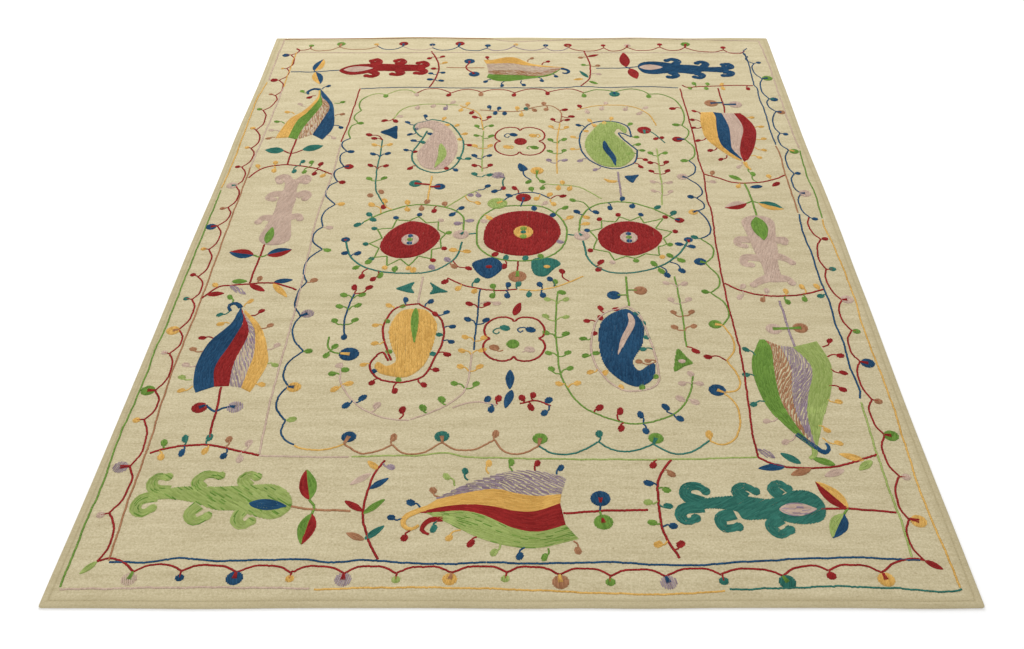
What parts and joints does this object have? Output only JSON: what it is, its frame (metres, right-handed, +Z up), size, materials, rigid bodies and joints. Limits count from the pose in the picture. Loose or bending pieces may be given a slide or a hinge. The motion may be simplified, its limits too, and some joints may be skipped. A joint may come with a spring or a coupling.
{
  "type": "suzani kilim rug",
  "caption": "Flat woven wool rug with turned hems, embroidered with scalloped vines, paisleys, striped leaves and red rosettes, lying flat.",
  "frame": {"origin": "on the floor, under the middle of the rug's box", "axes": "+X across the rug to the right, +Y along it away from the viewer, +Z up out of the embroidered face"},
  "size_m": [1.75, 2.202, 0.0049],
  "materials": {
    "undyed_wool": "matte",
    "red_wool_yarn": "matte",
    "blue_wool_yarn": "matte",
    "teal_wool_yarn": "matte",
    "green_wool_yarn": "matte",
    "light_green_wool_yarn": "matte",
    "gold_wool_yarn": "matte",
    "mauve_wool_yarn": "matte",
    "brown_wool_yarn": "matte",
    "lilac_wool_yarn": "matte"
  },
  "bodies": {
    "root": {"rug_cloth": "undyed_wool"}
  },
  "joints": []
}
